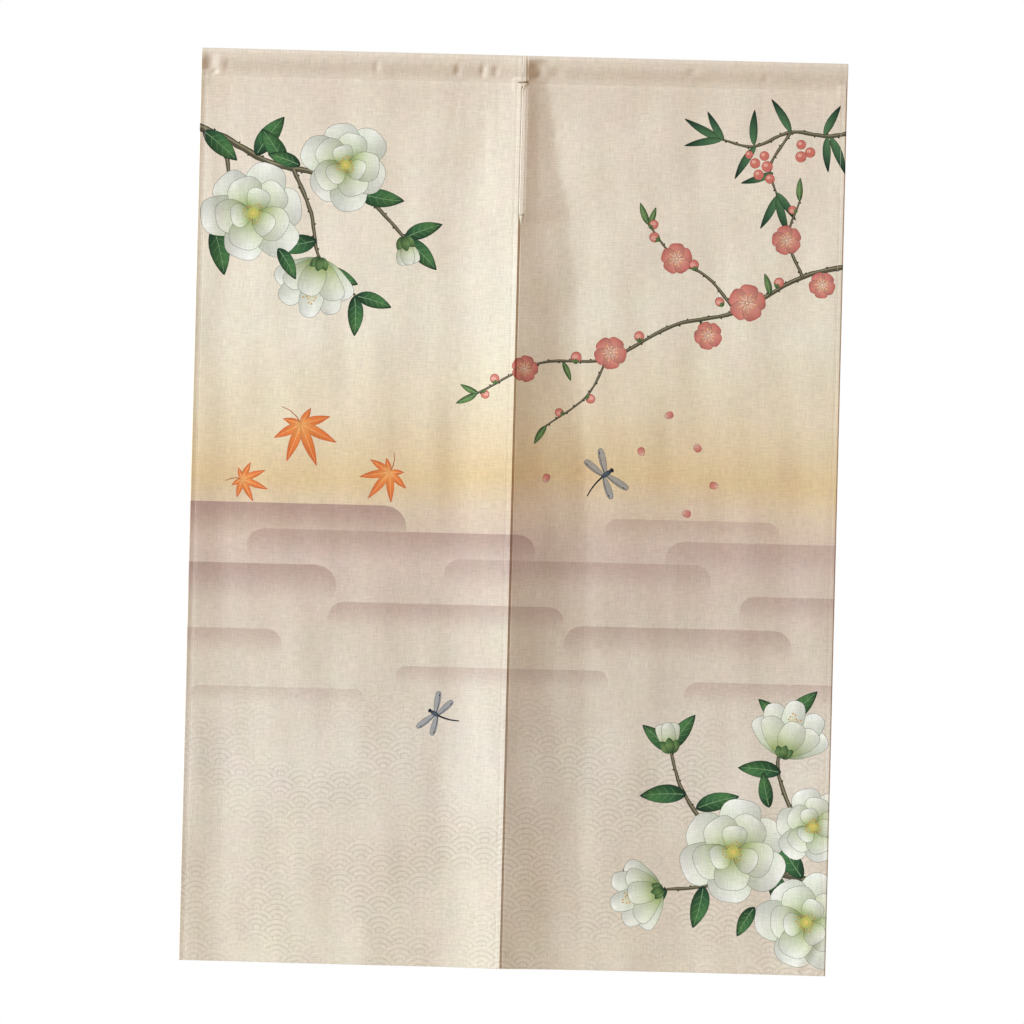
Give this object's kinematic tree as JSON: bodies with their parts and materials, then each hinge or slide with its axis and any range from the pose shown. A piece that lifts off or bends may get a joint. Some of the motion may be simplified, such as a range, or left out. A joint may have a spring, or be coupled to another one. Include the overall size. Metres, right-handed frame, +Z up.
{
  "type": "noren curtain",
  "caption": "Split doorway curtain of printed linen-look cloth with a turned rod pocket along its top, hanging in soft folds.",
  "frame": {"origin": "middle of the top edge, where the cloth turns over the rod", "axes": "+Z up along the drop, +X to the viewer's right, the printed front faces -Y"},
  "size_m": [0.85, 0.0278, 1.2],
  "materials": {
    "printed_cloth": "matt slub plain weave, printed on the front",
    "heading_cloth": "matt slub plain weave"
  },
  "bodies": {
    "root": {"left_panel": "printed_cloth", "right_panel": "printed_cloth", "left_heading": "heading_cloth", "right_heading": "heading_cloth"}
  },
  "joints": []
}
